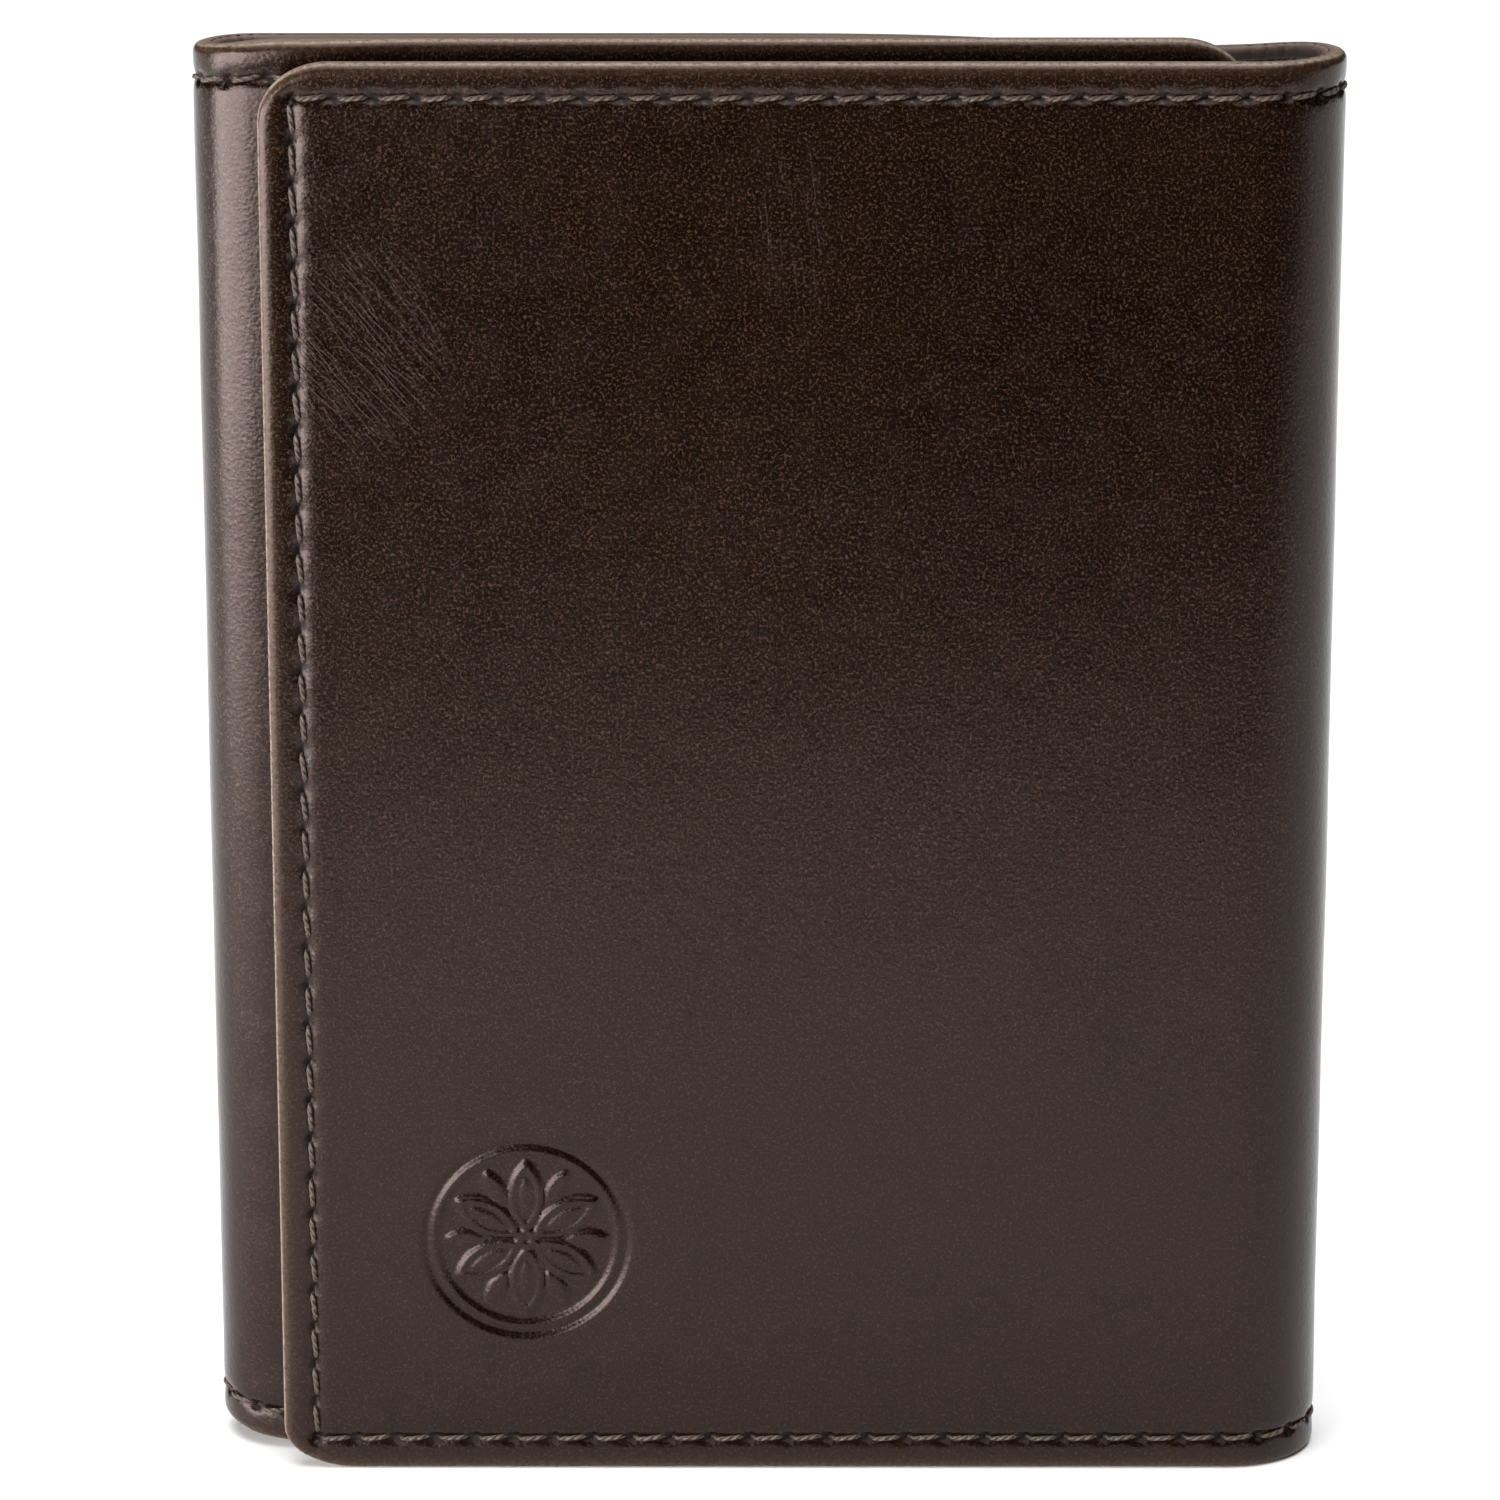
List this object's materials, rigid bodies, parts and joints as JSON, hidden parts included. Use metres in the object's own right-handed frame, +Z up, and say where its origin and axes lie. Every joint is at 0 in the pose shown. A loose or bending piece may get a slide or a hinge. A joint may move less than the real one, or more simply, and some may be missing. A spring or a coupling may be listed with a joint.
{
  "type": "trifold wallet",
  "caption": "Closed trifold leather wallet with two folding flaps, a bill compartment, card slots and a card window.",
  "frame": {"origin": "under the middle of the closed wallet, on the surface it stands on", "axes": "+X to the right across the closed wallet, +Y from the front flap to the back panel, +Z up"},
  "size_m": [0.0816, 0.0134, 0.1054],
  "materials": {
    "cover_leather": "smooth polished dark brown leather with a fine grain",
    "inside_leather": "matt dark brown leather",
    "lining_fabric": "fine woven dark brown lining",
    "stiffener_board": "plain fibre board",
    "seam_thread": "twisted taupe brown thread",
    "window_film": "clear flexible film"
  },
  "bodies": {
    "back_panel": {"back_cover": "cover_leather", "back_board": "stiffener_board", "back_lining": "lining_fabric", "back_divider": "inside_leather", "back_card_slot": "inside_leather", "window_film": "window_film", "window_frame": "inside_leather", "back_seam_thread": "seam_thread", "back_pocket_thread": "seam_thread"},
    "front_flap": {"front_cover": "cover_leather", "front_board": "stiffener_board", "front_lining": "lining_fabric", "front_divider": "inside_leather", "front_slot_rear": "inside_leather", "front_slot_middle": "inside_leather", "front_slot_near": "inside_leather", "front_seam_thread": "seam_thread", "front_pocket_thread": "seam_thread"},
    "inner_flap": {"inner_cover": "cover_leather", "inner_board": "stiffener_board", "inner_lining": "lining_fabric", "inner_divider": "inside_leather", "inner_slot_rear": "inside_leather", "inner_slot_middle": "inside_leather", "inner_slot_near": "inside_leather", "inner_seam_thread": "seam_thread", "inner_pocket_thread": "seam_thread"},
    "right_fold": {"right_fold_cover": "cover_leather", "right_fold_lining": "lining_fabric", "right_fold_divider": "inside_leather", "right_fold_thread": "seam_thread"},
    "left_fold": {"left_fold_cover": "cover_leather", "left_fold_lining": "lining_fabric", "left_fold_divider": "inside_leather", "left_fold_thread": "seam_thread"}
  },
  "joints": [
    {"name": "right_fold_at_back", "type": "hinge", "parent": "back_panel", "child": "right_fold", "pos_m": [0.03896, 0.00491, 0], "axis": [0, 0, 1], "range_deg": [0, 90]},
    {"name": "right_fold_at_front", "type": "hinge", "parent": "right_fold", "child": "front_flap", "pos_m": [0.03896, -0.00491, 0], "axis": [0, 0, 1], "range_deg": [0, 90]},
    {"name": "left_fold_at_back", "type": "hinge", "parent": "back_panel", "child": "left_fold", "pos_m": [-0.03947, 0.00542, 0], "axis": [0, 0, -1], "range_deg": [0, 90]},
    {"name": "left_fold_at_inner", "type": "hinge", "parent": "left_fold", "child": "inner_flap", "pos_m": [-0.03947, -0.00062, 0], "axis": [0, 0, -1], "range_deg": [0, 90]}
  ],
  "couplings": [
    {"joint": "right_fold_at_front", "follows": "right_fold_at_back", "ratio": 1},
    {"joint": "left_fold_at_back", "follows": "right_fold_at_back", "ratio": 0.11},
    {"joint": "left_fold_at_inner", "follows": "right_fold_at_back", "ratio": 0.11}
  ]
}
